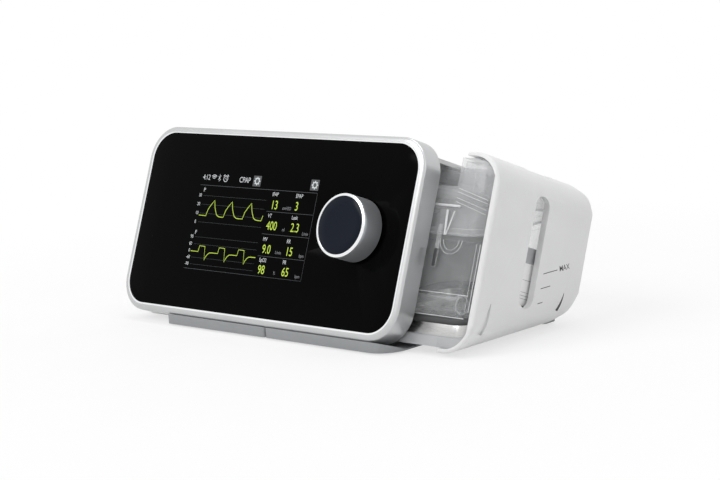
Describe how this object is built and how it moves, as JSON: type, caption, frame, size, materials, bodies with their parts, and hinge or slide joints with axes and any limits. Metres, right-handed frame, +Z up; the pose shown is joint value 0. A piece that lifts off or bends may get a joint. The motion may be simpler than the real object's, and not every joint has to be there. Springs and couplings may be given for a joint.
{
  "type": "non-invasive ventilator",
  "caption": "Bedside breathing machine with leaning glass front, push-and-turn knob, hose port and a pull-out humidifier drawer with a clear water tank.",
  "frame": {"origin": "centre of the middle rubber foot's underside, on the table, below the middle of the front panel", "axes": "+X to the machine's right, along its width and along the drawer's travel; +Y to the back; +Z up from the table"},
  "size_m": [0.2915, 0.1574, 0.1219],
  "materials": {
    "frame_metal": "bright rolled edge, satin side",
    "black_glass": "black printed cover glass, polished",
    "screen_parts": "satin",
    "inner_plastic": "moulded",
    "circuit_board": "solder mask",
    "steel_parts": "turned",
    "white_shell": "fine moulded texture",
    "pale_plastic": "satin",
    "grey_base": "satin",
    "black_rubber": "matt",
    "heater_alloy": "lapped",
    "heater_insulation": "moulded",
    "dark_plastic": "satin",
    "clear_rubber": "silicone",
    "filter_felt": "felted fibre",
    "knob_satin": "satin turned",
    "knob_bright": "polished",
    "knob_gloss": "polished",
    "clear_plastic": "clear moulded",
    "brushed_pan": "drawn and brushed",
    "impeller_plastic": "moulded"
  },
  "bodies": {
    "root": {"front_frame": "frame_metal", "front_glass": "black_glass", "display_module": "screen_parts", "front_carrier": "inner_plastic", "display_board": "circuit_board", "encoder_body": "steel_parts", "main_housing": "white_shell", "bay_liner": "pale_plastic", "base_plate": "grey_base", "plinth_left": "grey_base", "plinth_right": "grey_base", "rubber_feet": "black_rubber", "heater_plate": "heater_alloy", "heater_base": "heater_insulation", "main_board": "circuit_board", "buzzer": "dark_plastic", "motor_can": "steel_parts", "blower_base": "inner_plastic", "blower_cover": "inner_plastic", "inlet_silencer": "inner_plastic", "blower_duct": "inner_plastic", "outlet_duct": "inner_plastic", "outlet_port": "pale_plastic", "port_seals": "clear_rubber", "power_socket": "dark_plastic", "filter_frame": "inner_plastic", "air_filter": "filter_felt", "housing_screws": "steel_parts"},
    "encoder": {"encoder_plunger": "inner_plastic"},
    "knob": {"encoder_shaft": "steel_parts", "knob": "knob_satin", "knob_ring": "knob_bright", "knob_face": "knob_gloss"},
    "rotor": {"rotor_shaft": "steel_parts", "impeller": "impeller_plastic"},
    "filter_cover": {"filter_cover": "white_shell"},
    "drawer": {"drawer_cover": "white_shell", "drawer_tray": "pale_plastic", "water_tub": "clear_plastic", "tank_seal": "clear_rubber", "tank_lid": "clear_plastic", "tank_tube": "clear_plastic", "lid_latch": "dark_plastic", "pan_seal": "black_rubber", "tank_pan": "brushed_pan", "drawer_foot": "black_rubber"}
  },
  "joints": [
    {"name": "knob_push", "type": "slide", "parent": "root", "child": "encoder", "axis": [0, 0.9317, -0.3633], "range_m": [0, 0.0008], "stiffness_N_per_m": 3000, "springref_m": -0.0003},
    {"name": "knob_turn", "type": "hinge", "parent": "encoder", "child": "knob", "pos_m": [0.0808, -0.03306, 0.06792], "axis": [0, -0.9317, 0.3633], "continuous": true},
    {"name": "blower_spin", "type": "hinge", "parent": "root", "child": "rotor", "pos_m": [-0.062, 0.01774, 0.03], "axis": [0, 0, 1], "continuous": true},
    {"name": "filter_cover_pull", "type": "slide", "parent": "root", "child": "filter_cover", "axis": [0, 0.9317, -0.3633], "range_m": [0, 0.012]},
    {"name": "drawer_slide", "type": "slide", "parent": "root", "child": "drawer", "axis": [1, 0, 0], "range_m": [-0.0455, 0.0245]}
  ]
}
